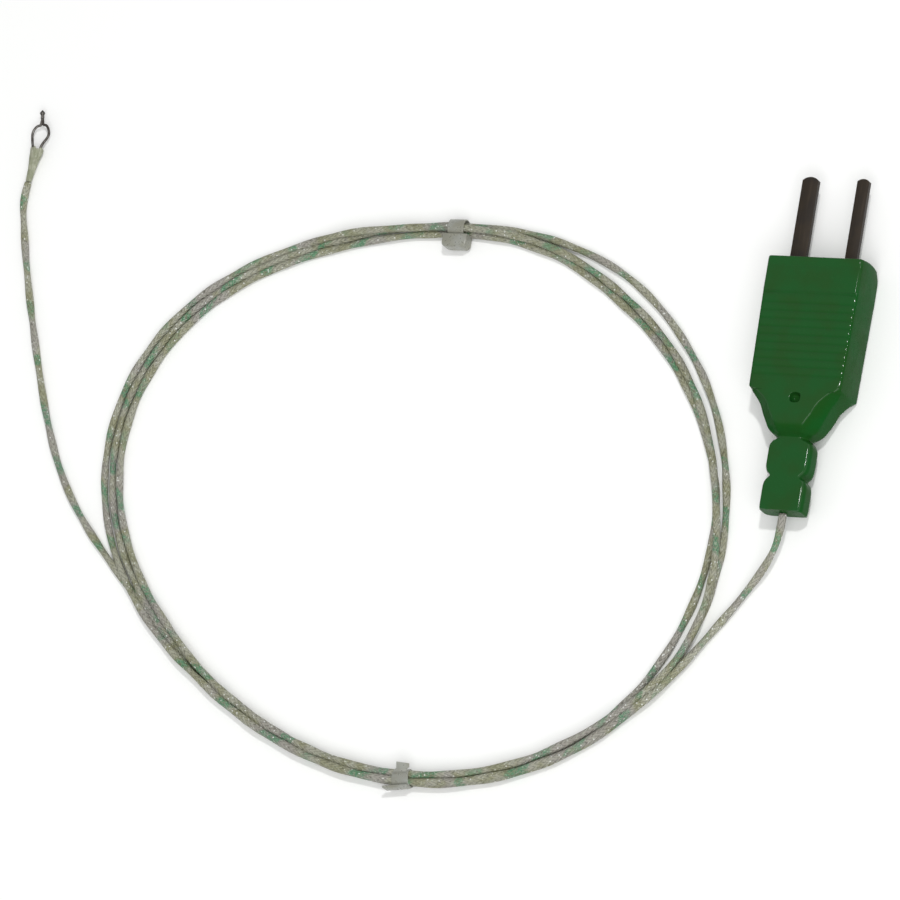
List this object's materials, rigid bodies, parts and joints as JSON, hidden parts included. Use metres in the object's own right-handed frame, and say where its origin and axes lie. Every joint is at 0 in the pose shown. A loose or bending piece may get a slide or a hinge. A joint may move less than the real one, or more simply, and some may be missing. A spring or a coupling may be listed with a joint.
{
  "type": "thermocouple",
  "caption": "Wire temperature probe: moulded flat-blade plug with flexible strain relief, thin fibre-braided lead in a loose tied coil and a bare welded sensing junction.",
  "frame": {"origin": "bottom centre of the plug, blades included, where its back rests on the surface", "axes": "+X across the blades from the negative to the positive one, +Y towards the blade tips, +Z out of the plug's front face"},
  "size_m": [0.1376, 0.0997, 0.0073],
  "materials": {
    "overmould": "glossy moulded soft PVC with a slightly uneven surface",
    "carrier": "dull moulded insulator",
    "blades": "dark oxidised thermocouple alloy, dull",
    "negative_wire": "bare nickel alloy wire, lightly oxidised",
    "positive_wire": "bare nickel chromium wire, lightly oxidised",
    "negative_braid": "white glass fibre braid",
    "positive_braid": "green glass fibre braid",
    "sleeve": "black shrink sleeve",
    "lead_braid": "varnished glass fibre braid, greyish with green showing through in patches",
    "lead_seal": "varnish-stiffened braid end",
    "weld_bead": "welded bead, dark and slightly shiny",
    "tie_nylon": "natural nylon, translucent"
  },
  "bodies": {
    "root": {"plug_overmould": "overmould", "pin_carrier": "carrier", "negative_blade": "blades", "positive_blade": "blades", "negative_wire_end": "negative_wire", "positive_wire_end": "positive_wire", "negative_core": "negative_braid", "positive_core": "positive_braid", "anchor_sleeve": "sleeve", "inner_lead": "lead_braid", "plug_lead": "lead_braid", "lead_coil": "lead_braid", "junction_lead": "lead_braid", "seal_cone": "lead_seal", "negative_leg": "negative_wire", "positive_leg": "positive_wire", "junction_bead": "weld_bead", "upper_tie": "tie_nylon", "lower_tie": "tie_nylon"}
  },
  "joints": []
}
